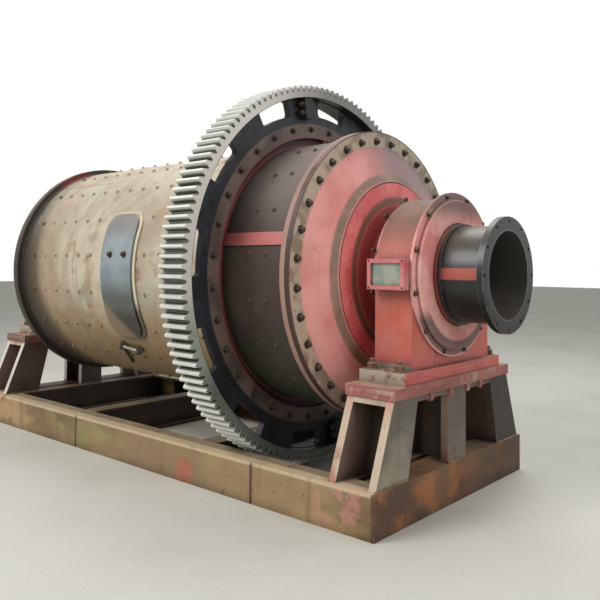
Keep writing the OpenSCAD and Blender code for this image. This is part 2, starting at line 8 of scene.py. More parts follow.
# %% Load the mill
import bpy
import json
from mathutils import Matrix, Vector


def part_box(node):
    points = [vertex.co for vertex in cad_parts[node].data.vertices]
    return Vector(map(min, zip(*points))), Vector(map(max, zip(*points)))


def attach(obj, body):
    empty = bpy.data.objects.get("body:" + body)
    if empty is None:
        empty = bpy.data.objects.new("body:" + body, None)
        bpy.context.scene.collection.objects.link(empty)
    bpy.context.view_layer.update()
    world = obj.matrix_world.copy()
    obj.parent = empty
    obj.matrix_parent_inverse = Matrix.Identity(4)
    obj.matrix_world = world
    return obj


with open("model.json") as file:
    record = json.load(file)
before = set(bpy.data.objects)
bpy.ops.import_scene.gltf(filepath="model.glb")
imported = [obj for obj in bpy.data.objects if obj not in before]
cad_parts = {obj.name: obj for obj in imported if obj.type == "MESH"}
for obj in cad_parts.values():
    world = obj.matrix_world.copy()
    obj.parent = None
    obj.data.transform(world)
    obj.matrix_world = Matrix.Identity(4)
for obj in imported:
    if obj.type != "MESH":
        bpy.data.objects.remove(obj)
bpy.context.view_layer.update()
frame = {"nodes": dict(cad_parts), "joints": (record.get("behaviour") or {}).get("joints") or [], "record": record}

# %% Bring in the tools
import json
import math
import random
import bmesh
import bpy
from mathutils import Matrix, Vector
print("Blender", bpy.app.version_string)

# %% [markdown]
# ## Landmarks
# A fitter marks out the centre line before anything else. Ours is the axis of the joint that turns the drum,
# and beside it we note where the shell ends. Both are read from the frame, so that nothing is typed twice.

# %% Mark out the centre line
AXIS_Z = frame["joints"][0]["pos_m"][2]
SHELL_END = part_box("shell")[1].x
print("axis height", round(AXIS_Z, 3), "shell ends at", round(SHELL_END, 3))

# %% [markdown]
# ## Camera
# The camera stands about five metres from the middle of the mill, at chest height, in front of the discharge
# end. Its place, its tilt and its lens were worked out from the round edges in the photograph: a circle
# seen from the side is an ellipse, and a few ellipses on one axis leave only one place to stand.

# %% Set the camera up
CAMERA_PLACE = Vector((3.6104, -3.2986, 1.2102))
CAMERA_YAW, CAMERA_PITCH, CAMERA_ROLL = 0.711633, 0.034763, 0.009857
forward = Vector((
    -math.sin(CAMERA_YAW) * math.cos(CAMERA_PITCH),
    math.cos(CAMERA_YAW) * math.cos(CAMERA_PITCH),
    math.sin(CAMERA_PITCH),
))
level = forward.cross(Vector((0, 0, 1))).normalized()
upward = level.cross(forward)
right = level * math.cos(CAMERA_ROLL) + upward * math.sin(CAMERA_ROLL)
up = upward * math.cos(CAMERA_ROLL) - level * math.sin(CAMERA_ROLL)
lens = bpy.data.cameras.new("photo_camera")
lens.lens = 41.86
lens.shift_x, lens.shift_y = -0.0061, -0.0985
camera = bpy.data.objects.new("photo_camera", lens)
camera.matrix_world = Matrix((right, up, -forward)).transposed().to_4x4()
camera.location = CAMERA_PLACE
bpy.context.scene.collection.objects.link(camera)
bpy.context.scene.camera = camera
print("camera at", [round(x, 2) for x in CAMERA_PLACE])

# %% [markdown]
# ## A pot of paint
# A finish is a small tree of nodes that ends in one Principled shader. The tree could be wired by hand in the
# shader editor, but forty wires are hard to read and harder to mend, so we keep a few short helpers.

# %% Helpers that lay nodes
def new_pot(name, roughness=0.6, metallic=0.0):
    material = bpy.data.materials.new(name)
    material.use_nodes = True
    tree = material.node_tree
    shader = tree.nodes["Principled BSDF"]
    shader.inputs["Roughness"].default_value = roughness
    shader.inputs["Metallic"].default_value = metallic
    place = tree.nodes.new("ShaderNodeTexCoord")
    return {"material": material, "tree": tree, "shader": shader, "place": place}


def put(pot, kind, inputs=(), **settings):
    node = pot["tree"].nodes.new("ShaderNode" + kind)
    for key, value in settings.items():
        setattr(node, key, value)
    for key, value in dict(inputs).items():
        if isinstance(value, bpy.types.NodeSocket):
            pot["tree"].links.new(value, node.inputs[key])
        else:
            node.inputs[key].default_value = value
    return node


def reckon(pot, operation, a, b=0.0, clamp=False):
    return put(pot, "Math", {0: a, 1: b}, operation=operation, use_clamp=clamp).outputs[0]


def stretched(pot, value, factor, offset):
    return put(pot, "Math", {0: value, 1: factor, 2: offset}, operation="MULTIPLY_ADD").outputs[0]


def into_shader(pot, results):
    for socket, result in results.items():
        pot["tree"].links.new(result, pot["shader"].inputs[socket])


print("node helpers ready")

# %% [markdown]
# ## Masks
# A mask is white where a colour goes and black where it doesn't. Clouds of noise, turned into patches with
# soft edges, give the masks that look like chance. The place of a point, its distance from the drum's axis
# and the way its face looks give the masks that have a reason. Painting them by hand on an unwrapped surface
# would work too, but these need no images and turn with the drum. Two masks multiplied keep what both show.

# %% Helpers that make masks
def cloud(pot, scale, detail=5.0, stretch=(1, 1, 1), swirl=0.0, roughness=0.55, seed=0.0):
    start = (seed, seed * 0.7, seed * 1.3)
    moved = put(pot, "Mapping", {"Vector": pot["place"].outputs["Object"], "Location": start, "Scale": stretch})
    noise = {"Vector": moved.outputs[0], "Scale": scale, "Detail": detail, "Roughness": roughness}
    return put(pot, "TexNoise", {**noise, "Distortion": swirl}).outputs["Fac"]


def fade(pot, value, start, end):
    levels = {"Value": value, "From Min": start, "From Max": end}
    return put(pot, "MapRange", levels, interpolation_type="SMOOTHSTEP").outputs[0]


def cloudy(pot, scale, start, end, **settings):
    return fade(pot, cloud(pot, scale, **settings), start, end)


def both(pot, *masks):
    shared = masks[0]
    for mask in masks[1:]:
        shared = reckon(pot, "MULTIPLY", shared, mask)
    return shared


def band(pot, value, start, end, soft=0.01):
    rise = fade(pot, value, start - soft, start + soft)
    fall = fade(pot, value, end + soft, end - soft)
    return both(pot, rise, fall)


print("mask helpers ready")


# %% Helpers that know places and directions
def along(pot, axis, source="Object"):
    split = put(pot, "SeparateXYZ", {"Vector": pot["place"].outputs[source]})
    return split.outputs["XYZ".index(axis)]


def beyond(pot, axis, start, end):
    return fade(pot, along(pot, axis), start, end)


def facing(pot, axis, start, end):
    return fade(pot, along(pot, axis, "Normal"), start, end)


def off_axis(pot):
    lifted = reckon(pot, "SUBTRACT", along(pot, "Z"), AXIS_Z)
    side = along(pot, "Y")
    squares = reckon(pot, "ADD", both(pot, lifted, lifted), both(pot, side, side))
    return reckon(pot, "SQRT", squares)


print("place helpers ready")

# %% [markdown]
# ## Coats of colour
# Colours are written as they look on a screen, from 0 to 255, and turned into the linear values that Blender
# reckons with. One helper lays a colour over another where a mask is white. The next lays a list of coats in
# order, as a painter would, each with its colour, its mask and its strength.

# %% Helpers that lay colours
def linear(tint):
    if isinstance(tint, bpy.types.NodeSocket):
        return tint
    levels = [level / 255 for level in tint]
    return (*[x / 12.92 if x <= 0.04045 else ((x + 0.055) / 1.055) ** 2.4 for x in levels], 1.0)


def over(pot, below, above, mask, strength=1.0):
    if strength != 1.0:
        mask = reckon(pot, "MULTIPLY", mask, strength)
    coats = {0: mask, 6: linear(below), 7: linear(above)}
    return put(pot, "Mix", coats, data_type="RGBA").outputs[2]


def layered(pot, coat, *layers):
    for tint, mask, *strength in layers:
        coat = over(pot, coat, tint, mask, *strength)
    return coat


print("mid grey is", [round(level, 3) for level in linear((128, 128, 128))])

# %% [markdown]
# ## Floor, sky and lamps
# A plain pale concrete floor catches the mill's shadow. The sky is white only where the camera, a mirror
# reflection or glass looks at it: the Light Path node tells those rays apart, so the white costs no extra
# light on the mill. One large lamp stands for the shed's roof lights on the left, a weaker one fills from
# the right, and a third washes the top, all of them big so that their shadows are soft.

# %% Light the shed
SKY_LIGHT, SKY_SEEN, SKY_IN_GLOSS = 0.36, 1.0, 0.8
world = bpy.data.worlds.new("shed_sky")
world.use_nodes = True
bpy.context.scene.world = world
bpy.context.scene.view_settings.view_transform = "Standard"
sky = {"tree": world.node_tree}
rays = put(sky, "LightPath")
seen = reckon(sky, "MAXIMUM", rays.outputs["Is Camera Ray"], rays.outputs["Is Transmission Ray"])
seen = reckon(sky, "MAXIMUM", seen, reckon(sky, "MULTIPLY", rays.outputs["Is Glossy Ray"], SKY_IN_GLOSS))
sky_level = put(sky, "MapRange", {"Value": seen, "To Min": SKY_LIGHT, "To Max": SKY_SEEN})
sky_node = world.node_tree.nodes["Background"]
sky_node.inputs["Color"].default_value = (1.0, 1.0, 0.985, 1)
world.node_tree.links.new(sky_level.outputs[0], sky_node.inputs["Strength"])


def lamp(name, place, target, size, power, tint=(1, 1, 1)):
    light = bpy.data.lights.new(name, "AREA")
    light.shape, light.size, light.energy, light.color = "DISK", size, power, tint
    holder = bpy.data.objects.new(name, light)
    holder.location = place
    aim = Vector(target) - Vector(place)
    holder.rotation_euler = aim.to_track_quat("-Z", "Y").to_euler()
    bpy.context.scene.collection.objects.link(holder)


lamp("roof_lights", (-1.5, -6.5, 6.5), (0.2, 0, 1.0), 5.0, 470, (1.0, 0.985, 0.96))
lamp("door_light", (6.5, -1.0, 3.5), (1.2, 0, 1.0), 4.0, 95, (0.95, 0.98, 1.0))
lamp("ridge_light", (0.5, 2.5, 7.0), (0.3, 0.2, 1.5), 5.0, 230)
print("sky and three lamps ready")

# %% Pour the floor
FLOOR_HALF = 40.0
floor_corners = [(FLOOR_HALF * x, FLOOR_HALF * y, 0) for x, y in ((-1, -1), (1, -1), (1, 1), (-1, 1))]
floor_mesh = bpy.data.meshes.new("concrete_floor")
floor_mesh.from_pydata(floor_corners, [], [(0, 1, 2, 3)])
floor = bpy.data.objects.new("concrete_floor", floor_mesh)
bpy.context.scene.collection.objects.link(floor)
concrete = new_pot("concrete", roughness=0.85)
floor_colour = layered(
    concrete, (206, 205, 196),
    ((186, 184, 174), cloudy(concrete, 0.9, 0.42, 0.75, detail=6), 0.6),
    ((168, 166, 158), cloudy(concrete, 60, 0.56, 0.72, detail=3), 0.35),
)
into_shader(concrete, {"Base Color": floor_colour})
floor_mesh.materials.append(concrete["material"])
print("floor", FLOOR_HALF * 2, "m wide")

# %% [markdown]
# ## Weather, layer by layer
# Paint on a machine that has stood in a yard is never one colour. It fades in clouds, rust comes through in
# specks and spreads into patches, rain drags it down in runs, dust settles on what faces up, grime and painted
# shade darken the corners, and the edges are rubbed bright. Each of these is one mask over the last colour. The
# same masks also change the roughness and raise or sink the surface a little, so that colour and gloss agree.

# %% Find the corners and the edges
RUST = (128, 72, 42)
DARK_RUST = (66, 38, 28)
DUST = (192, 172, 140)
GRIME_AND_SHADE = (30, 26, 23)
BARE_STEEL = (150, 150, 146)


# Darkens corners, gaps and the places between parts by how little light reaches them: grime and painted shade.
def corner_grime_and_shade(pot, reach):
    shade = put(pot, "AmbientOcclusion", {"Distance": reach}, samples=6)
    return fade(pot, shade.outputs["AO"], 0.82, 0.3)


def rubbed_edges(pot, radius=0.006):
    soft = put(pot, "Bevel", {"Radius": radius}, samples=4).outputs[0]
    true = put(pot, "NewGeometry").outputs["Normal"]
    likeness = put(pot, "VectorMath", {0: soft, 1: true}, operation="DOT_PRODUCT")
    return fade(pot, likeness.outputs["Value"], 0.985, 0.9)


print("corners and edges can be found")


# %% Lay the weather over a coat of paint
def aged(pot, coat, worn, scale=1.0, rust=0.4, dust=0.5, grime_and_shade=0.7, wear=0.5, runs=0.3,
              shine=0.55, dust_tint=DUST, rust_tint=RUST, edge_tint=BARE_STEEL):
    fine = cloud(pot, 26 * scale, detail=7, seed=5.1)
    spread = cloud(pot, 4.5 * scale, detail=9, seed=3.3, roughness=0.68)
    rusted = fade(pot, spread, 0.7 - 0.22 * rust, 0.8 - 0.18 * rust)
    specks = cloudy(pot, 48 * scale, 0.7 - 0.1 * rust, 0.76 - 0.08 * rust, detail=3, seed=6.6)
    rusted = reckon(pot, "MAXIMUM", rusted, reckon(pot, "MULTIPLY", specks, 0.8))
    trails = cloudy(pot, 13 * scale, 0.54, 0.72, detail=4, stretch=(1, 1, 0.07), seed=2.2)
    powder = both(pot, facing(pot, "Z", 0.15, 0.85), cloudy(pot, 6 * scale, 0.26, 0.58, detail=8, seed=9.9))
    colour = layered(
        pot, coat,
        (worn, cloudy(pot, 1.7 * scale, 0.36, 0.66, seed=1.7, swirl=0.6), 0.7),
        (worn, cloudy(pot, 9 * scale, 0.5, 0.72, seed=8.3), 0.55),
        (rust_tint, rusted, 0.85),
        (DARK_RUST, both(pot, rusted, fade(pot, fine, 0.45, 0.65)), 0.7),
        (DARK_RUST, trails, runs * 0.6),
        (dust_tint, powder, dust),
        (GRIME_AND_SHADE, corner_grime_and_shade(pot, 0.1), grime_and_shade),
        (edge_tint, both(pot, rubbed_edges(pot), fade(pot, fine, 0.38, 0.6)), wear),
    )
    dullness = stretched(pot, rusted, 0.25, shine)
    dullness = reckon(pot, "ADD", dullness, reckon(pot, "MULTIPLY", powder, 0.2 * dust), clamp=True)
    height = reckon(pot, "ADD", reckon(pot, "MULTIPLY", fine, 0.5), reckon(pot, "MULTIPLY", rusted, 0.35))
    relief = put(pot, "Bump", {"Height": height, "Strength": 0.4, "Distance": 0.004})
    into_shader(pot, {"Base Color": colour, "Roughness": dullness, "Normal": relief.outputs[0]})
    return pot


finishes = {}
print("weather has", len(aged.__defaults__), "knobs")

# %% [markdown]
# ## The shell's paint
# The far part of the shell is old cream paint, tinted green, pink and tan in clouds, streaked by rain, and
# browner underneath where water hung. A few rust marks stand out in the photograph. Noise alone would put
# them anywhere, so each is a small ball round a point of the shell, with a border that noise makes ragged.

# %% Mix the shell's cream
pot = new_pot("shell_coat")
x, y, z = (along(pot, axis) for axis in "XYZ")
wander = stretched(pot, cloud(pot, 3, seed=4.4), 0.22, -0.11)
yellowed = both(pot, cloudy(pot, 5.5, 0.48, 0.64, seed=41.0), fade(pot, z, 1.1, 0.8))
cream = layered(
    pot, (200, 190, 168),
    ((168, 154, 132), cloudy(pot, 1.6, 0.38, 0.62, detail=6, seed=0.4)),
    ((164, 172, 150), cloudy(pot, 4.2, 0.55, 0.72, detail=3, seed=7.7), 0.7),
    ((206, 162, 150), cloudy(pot, 3.6, 0.55, 0.72, detail=3, seed=12.7), 0.8),
    ((154, 132, 102), cloudy(pot, 7.5, 0.5, 0.68, detail=7, seed=21.3), 0.65),
    ((160, 130, 74), yellowed, 0.6),
    ((150, 130, 104), cloudy(pot, 11, 0.5, 0.68, stretch=(1, 1, 0.1), seed=31.0), 0.45),
    ((152, 134, 108), fade(pot, x, -0.66, -0.95), 0.5),
)
print("cream mixed")


# %% Add the rust marks and the brown underside
def around(x, radius, degrees):
    angle = math.radians(degrees)
    return Vector((x, radius * math.cos(angle), AXIS_Z + radius * math.sin(angle)))


SHELL_R = 0.765
RUST_MARKS = (
    (0.07, 175, 0.045), (0.1, 180.5, 0.035), (0.11, 184, 0.03), (0.06, 187, 0.04),
    (-0.47, 199, 0.03), (-0.586, 211, 0.03), (-0.819, 211, 0.03), (-0.45, 174, 0.03),
)
for mark_x, degrees, reach in RUST_MARKS:
    middle = tuple(around(mark_x, SHELL_R, degrees))
    away = put(pot, "VectorMath", {0: pot["place"].outputs["Object"], 1: middle}, operation="DISTANCE")
    ragged = stretched(pot, cloud(pot, 30, detail=4, seed=degrees), 0.06, -0.03)
    ragged = reckon(pot, "ADD", away.outputs["Value"], ragged)
    cream = over(pot, cream, (138, 92, 62), fade(pot, ragged, reach, reach * 0.4), 0.6)
underside = fade(pot, reckon(pot, "ADD", z, wander), 1.06, 0.6)
cream = over(pot, cream, (148, 122, 88), underside, 0.9)
print(len(RUST_MARKS), "rust marks")

# %% [markdown]
# The shell has more zones than cream. Between the gear and the near head it was left in a dark primer.
# Towards the far head it goes dark with soot in two steps, along a border that leans and wanders a little,
# and the far flange is almost black, with one arc of red. The place along the axis tells the zones apart.
# One material with zones needs no cuts in the CAD mesh, which may not be changed.

# %% Join the zones along the drum
PRIMER_X = 0.83
SHELL_FLANGE_T = 0.03
NEAR_FLANGE_X = SHELL_END - SHELL_FLANGE_T
FAR_FLANGE_X = -NEAR_FLANGE_X
LEAN = 0.13
primer = layered(
    pot, (94, 78, 72),
    ((72, 56, 52), cloudy(pot, 2.3, 0.4, 0.62, seed=3.9)),
    ((78, 88, 72), cloudy(pot, 3.4, 0.52, 0.68, detail=4, seed=15.1), 0.6),
    ((126, 114, 108), fade(pot, z, 1.36, 1.72), 0.8),
    ((62, 74, 58), fade(pot, z, 1.00, 0.68), 0.6),
)
leaning = reckon(pot, "ADD", stretched(pot, z, LEAN, -LEAN * AXIS_Z), reckon(pot, "MULTIPLY", wander, 0.35))
toward_far = reckon(pot, "ADD", leaning, x)
far_rim = fade(pot, x, FAR_FLANGE_X + 0.075, FAR_FLANGE_X + 0.035)
red_arc = both(pot, band(pot, y, -0.46, -0.22, 0.03), fade(pot, z, 1.5, 1.6))
dark_rim = over(pot, (48, 40, 34), (122, 34, 38), red_arc, 0.9)
coat = layered(
    pot, cream,
    (primer, band(pot, x, PRIMER_X, NEAR_FLANGE_X, 0.006)),
    ((80, 64, 46), fade(pot, toward_far, -0.98, -1.14), 0.95),
    ((56, 45, 35), fade(pot, toward_far, -1.12, -1.23), 0.95),
    (dark_rim, far_rim, 0.92),
    ((170, 132, 120), fade(pot, x, NEAR_FLANGE_X - 0.003, NEAR_FLANGE_X + 0.003)),
)
shell_dust = layered(
    pot, (202, 196, 178),
    ((122, 112, 104), fade(pot, x, PRIMER_X - 0.006, PRIMER_X + 0.006)),
    (dark_rim, far_rim, 0.85),
)
shell_edges = over(pot, BARE_STEEL, (78, 62, 56), far_rim)
finishes["shell_paint"] = aged(
    pot, coat, coat, scale=1.3, rust=0.25, dust=0.45, runs=0.25, grime_and_shade=0.6, dust_tint=shell_dust,
    edge_tint=shell_edges, shine=0.6,
)
print("shell coat has", len(pot["tree"].nodes), "nodes")

# %% [markdown]
# ## The heads and trunnions
# Each head is a casting painted salmon red, greyer where dust lies on its far shoulder. A ring of cream dust
# marks the bolted rim, a brown and olive band lies on the step between the cone and the hub, and the trunnion's
# root is dark with old grease. Most of this follows the circles of the drum, so most masks use one number only:
# how far a point lies from the drum's axis.

# %% Paint the heads
BOLT_RING, RIM_EDGE = (0.712, 0.9), (0.794, 0.9)
BOSS_STEP, INSIDE_BOSS = (0.515, 0.556), (0.0, 0.508)
pot = new_pot("head_coat")
radius = off_axis(pot)
ring_dirt = over(pot, (188, 172, 150), (136, 122, 104), cloudy(pot, 12, 0.42, 0.62, seed=5.5))
step_band = over(pot, (148, 122, 102), (98, 86, 62), cloudy(pot, 5, 0.4, 0.62, detail=6, seed=8.8))
shoulder = both(pot, beyond(pot, "Z", 1.42, 1.68), beyond(pot, "Y", -0.3, 0.08))
coat = layered(
    pot, (244, 170, 161),
    ((228, 140, 132), cloudy(pot, 2.6, 0.38, 0.62, seed=1.1)),
    ((230, 162, 148), cloudy(pot, 7, 0.52, 0.7, detail=6, seed=2.9), 0.6),
    ((146, 126, 130), shoulder, 0.9),
    (ring_dirt, band(pot, radius, *BOLT_RING, 0.007), 0.92),
    ((64, 46, 40), band(pot, radius, *RIM_EDGE, 0.003)),
    (step_band, band(pot, radius, *BOSS_STEP, 0.008), 0.85),
    ((222, 110, 108), band(pot, radius, *INSIDE_BOSS, 0.008)),
)
finishes["head_paint"] = aged(
    pot, coat, coat, rust=0.22, dust=0.42, runs=0.15, grime_and_shade=0.6, wear=0.35, dust_tint=(178, 150, 144),
    edge_tint=(226, 160, 146), shine=0.5,
)
print("heads painted")

# %% Paint the trunnions
ROOT_GREASE, JOURNAL = (0.385, 0.425), (0.0, 0.38)
pot = new_pot("trunnion_coat")
radius = off_axis(pot)
coat = layered(
    pot, (238, 130, 126),
    ((220, 102, 101), cloudy(pot, 5, 0.4, 0.6, seed=1.9)),
    ((98, 76, 56), band(pot, radius, *ROOT_GREASE, 0.012), 0.9),
    ((160, 72, 70), band(pot, radius, *JOURNAL, 0.012)),
)
finishes["trunnion_paint"] = aged(pot, coat, coat, rust=0.3, dust=0.3, grime_and_shade=0.45, wear=0.3, shine=0.45)
print("trunnions painted")

# %% [markdown]
# ## The girth gear
# The teeth and the rim's near face were machined, so they show bright steel under a light film of oil. The
# near face is painted grey-green and then dark towards the bottom, as painted shade. The web is black. One steel
# finish would miss this, and cutting the gear into pieces would break its CAD node, so the bright metal is
# chosen by the distance to the axis. The gaps between the teeth are dull and the crests are worn bright. A
# second mask, of the way a face looks, keeps the flat faces at the rim's two ends apart from the teeth's sides.

# %% Finish the gear's steel
RIM_INNER_R, TOOTH_ROOT_R, TOOTH_TIP_R = 1.05, 1.084, 1.12
pot = new_pot("gear_finish", roughness=0.4)
radius = off_axis(pot)
height = along(pot, "Z")
end_faces = fade(pot, reckon(pot, "ABSOLUTE", along(pot, "X", "Normal")), 0.7, 0.9)
# The near face grows grey-green and then dark towards the bottom: painted shade.
near_face_shaded = layered(
    pot, (230, 222, 214),
    ((146, 154, 140), fade(pot, height, 1.15, 0.85), 0.85),
    ((58, 56, 52), fade(pot, height, 0.76, 0.56), 0.75),
)
steel = layered(
    pot, (186, 190, 182),
    ((150, 152, 140), cloudy(pot, 9, 0.4, 0.66, detail=6, seed=1.3)),
    ((150, 160, 140), cloudy(pot, 3.1, 0.5, 0.7, seed=6.1), 0.5),
    (near_face_shaded, end_faces, 0.85),
)
machined = fade(pot, radius, RIM_INNER_R + 0.0015, RIM_INNER_R + 0.0035)
print("machined from", RIM_INNER_R, "m outwards")

# %% Blacken the web and wear the teeth
HUB_RING_R, WEB_BORE = 0.9, (0.8, 0.826)
hub_brown = over(pot, (116, 96, 88), (84, 72, 66), cloudy(pot, 6, 0.4, 0.62, seed=7.1))
sides = reckon(pot, "SUBTRACT", 1.0, end_faces)
gaps = both(pot, sides, fade(pot, radius, TOOTH_TIP_R - 0.012, TOOTH_ROOT_R + 0.006), machined)
crests = both(pot, sides, fade(pot, radius, TOOTH_TIP_R - 0.018, TOOTH_TIP_R - 0.008))
bright = reckon(pot, "MAXIMUM", both(pot, rubbed_edges(pot, 0.004), machined), crests)
shoulder = both(pot, beyond(pot, "Y", -0.65, 0.1), fade(pot, height, 1.6, 1.9), machined)
coat = layered(
    pot, (34, 34, 44),
    ((24, 22, 26), cloudy(pot, 4, 0.4, 0.62, seed=2.1)),
    ((52, 50, 54), cloudy(pot, 14, 0.54, 0.7, detail=7, seed=3.1), 0.6),
    (hub_brown, fade(pot, radius, HUB_RING_R + 0.006, HUB_RING_R - 0.006)),
    # A pink band round the web's bore: a painted highlight on its inner edge.
    ((128, 74, 74), band(pot, radius, *WEB_BORE, 0.004), 0.8),
    (steel, machined),
    ((104, 98, 88), gaps, 0.8),
    ((28, 27, 27), corner_grime_and_shade(pot, 0.05), 0.6),
    ((232, 233, 228), bright, 0.85),
    ((98, 100, 96), shoulder, 0.8),
)
gloss = put(pot, "MapRange", {"Value": cloud(pot, 18, detail=6, seed=4.2), "From Min": 0.3, "From Max": 0.7,
    "To Min": 0.34, "To Max": 0.6})
cutter_marks = cloud(pot, 40, detail=3, stretch=(0.25, 1, 1), seed=0.6)
relief = put(pot, "Bump", {"Height": cutter_marks, "Strength": 0.25, "Distance": 0.002})
into_shader(pot, {"Base Color": coat, "Metallic": reckon(pot, "MULTIPLY", machined, 0.25),
    "Roughness": gloss.outputs[0], "Normal": relief.outputs[0]})
finishes["gear_steel"] = pot
print("gear finish has", len(pot["tree"].nodes), "nodes")

# %% [markdown]
# The flange that the gear is bolted to is a dark plum red, redder close to the shell where it is welded on.
# The strips along the near part of the shell are a plain worn red. Both need only the common weather.

# %% Paint the gear's mounting flange and the red strips
FLANGE_ROOT = (0.0, 0.778)
pot = new_pot("flange_coat")
coat = layered(
    pot, (84, 46, 48),
    ((60, 38, 40), cloudy(pot, 4, 0.4, 0.62, seed=1.0)),
    ((168, 78, 78), band(pot, off_axis(pot), *FLANGE_ROOT, 0.004), 0.85),
)
finishes["flange_paint"] = aged(
    pot, coat, coat, rust=0.35, dust=0.35, grime_and_shade=0.6, wear=0.3, edge_tint=(190, 104, 100),
)
pot = new_pot("strip_coat")
finishes["strip_paint"] = aged(
    pot, (198, 114, 112), (170, 84, 84), rust=0.35, dust=0.25, grime_and_shade=0.4, wear=0.5, shine=0.5,
)
print("gear, flange and strips done")

# %% [markdown]
# ## Bearings
# The housings are salmon red like the heads, but warmer, with brown dust on the cap and painted shade on its
# top. The foot was painted with a broad brush and its strokes still show: noise that is stretched along one
# axis makes long strokes, where a drawn stripe would be too even. The ends of the foot are bare and dusty. The
# seal covers are a paler pink with a dark crescent below the shaft, and the window frames a fresher red.

# %% Paint the bearing housings
BRUSHED = (1, 0.12, 1)
pot = new_pot("housing_coat")
z = along(pot, "Z")
strokes = cloud(pot, 18, stretch=BRUSHED, seed=29.0)
foot = fade(pot, z, 0.76, 0.72)
foot_ends = both(pot, fade(pot, z, 0.735, 0.725), facing(pot, "Y", -0.5, -0.9))
bare_ends = over(pot, (178, 176, 158), (96, 88, 74), cloudy(pot, 15, 0.5, 0.64, seed=4.9))
coat = layered(
    pot, (196, 98, 78),
    ((194, 114, 102), cloudy(pot, 3.2, 0.38, 0.64, seed=2.0)),
    ((198, 118, 112), cloudy(pot, 8, 0.5, 0.68, seed=9.1), 0.6),
    ((196, 92, 88), fade(pot, z, 0.86, 0.72), 0.6),
    # Above the cap's shoulder and on every upward face the coat turns darker brown: dust and painted shade on top.
    ((170, 92, 80), fade(pot, z, 1.2, 1.36), 0.5),
    ((112, 90, 76), facing(pot, "Z", 0.3, 0.85), 0.75),
    ((112, 58, 56), both(pot, fade(pot, strokes, 0.54, 0.66), foot), 0.6),
    ((226, 160, 156), both(pot, fade(pot, strokes, 0.42, 0.32), foot), 0.5),
    (bare_ends, foot_ends, 0.85),
)
ledge_dust = over(pot, (186, 182, 162), (92, 90, 74), cloudy(pot, 13, 0.48, 0.62, seed=17.7))
# The dust tint is dark brown above the foot: dust and painted shade.
top_dust_and_shade = over(pot, (110, 92, 78), ledge_dust, fade(pot, z, 0.74, 0.71))
finishes["housing_paint"] = aged(
    pot, coat, coat, scale=1.4, rust=0.28, dust=0.85, grime_and_shade=0.75, wear=0.35, dust_tint=top_dust_and_shade,
    edge_tint=(224, 160, 146), shine=0.5,
)
print("housings painted")

# %% Paint the seals and the window frames
SEAL_RING = (0.345, 0.42)
pot = new_pot("seal_coat")
# A dark crescent on the seal ring's lower half, below the shaft.
dark_crescent = both(pot, band(pot, off_axis(pot), *SEAL_RING, 0.008), beyond(pot, "Z", 1.02, 0.93))
coat = layered(
    pot, (240, 178, 170),
    ((224, 142, 136), cloudy(pot, 5, 0.4, 0.6, seed=3.7)),
    ((70, 56, 58), dark_crescent, 0.8),
    ((108, 88, 82), beyond(pot, "Z", 1.42, 1.53), 0.85),
)
finishes["seal_paint"] = aged(
    pot, coat, coat, scale=1.6, rust=0.25, runs=0.2, grime_and_shade=0.8, wear=0.4, dust_tint=(112, 94, 86),
    edge_tint=(226, 176, 166),
)
pot = new_pot("window_coat")
finishes["window_paint"] = aged(pot, (200, 92, 98), (214, 148, 148), scale=2.5, rust=0.2, grime_and_shade=0.5)
print("seals and window frames painted")

# %% [markdown]
# ## Sole plates and pedestals
# The sole plates are a faded pink with brush strokes and one rubbed stripe, and painted shade darkens them at the
# feed end. The pedestals are cream over an older red, laid the way it happened: red first, then cream with holes
# in it. Their walls differ on their two sides. What looks out is greyer, and darker at the feed end, where shade
# is painted on. What looks into the hollow leg has painted light and shade: lighter near its opening, dark deeper
# in. Two materials would need two sets of faces, so we compare which way a face looks with which side of the wall
# it stands on.

# %% Paint the sole plates
pot = new_pot("sole_coat")
strokes = cloud(pot, 18, stretch=BRUSHED, seed=23.0)
stripe = both(pot, band(pot, along(pot, "Z"), 0.616, 0.636, 0.006),
              cloudy(pot, 7, 0.4, 0.56, detail=6, seed=19.5), facing(pot, "Y", -0.5, -0.9))
coat = layered(
    pot, (162, 100, 92),
    ((148, 86, 80), cloudy(pot, 5, 0.4, 0.62, seed=2.4)),
    ((176, 158, 138), cloudy(pot, 6, 0.5, 0.62, detail=6, seed=11.4), 0.75),
    ((104, 62, 60), fade(pot, strokes, 0.54, 0.66), 0.6),
    ((222, 172, 168), fade(pot, strokes, 0.42, 0.32), 0.5),
    ((206, 190, 172), stripe, 0.5),
    # Darker towards the feed end: painted shade.
    ((92, 62, 58), beyond(pot, "X", 0.2, -0.2), 0.6),
)
finishes["sole_paint"] = aged(
    pot, coat, coat, scale=1.5, rust=0.35, dust=0.6, grime_and_shade=0.8, wear=0.35, edge_tint=(222, 176, 160),
)
print("sole plates painted")

# %% Tell the pedestals' faces apart
OUTER_FACE_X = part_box("discharge_pedestal_outer")[1].x
INNER_FACE_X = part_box("discharge_pedestal_inner")[0].x
PEDESTAL_MID = (OUTER_FACE_X + INNER_FACE_X) / 2
pot = new_pot("pedestal_coat")
x, y, z = (along(pot, axis) for axis in "XYZ")
from_middle = reckon(pot, "SUBTRACT", reckon(pot, "ABSOLUTE", x), PEDESTAL_MID)
outward = both(pot, reckon(pot, "SIGN", x), along(pot, "X", "Normal"), reckon(pot, "SIGN", from_middle))
turned_in = fade(pot, outward, -0.3, -0.7)
turned_out = fade(pot, outward, 0.7, 0.9)
leg_edges = facing(pot, "Y", -0.5, -0.9)
far_edges = both(pot, fade(pot, x, 0.2, -0.2), leg_edges)
near_edges = both(pot, fade(pot, x, -0.2, 0.2), leg_edges)
print("middle of a pedestal at", round(PEDESTAL_MID, 3))

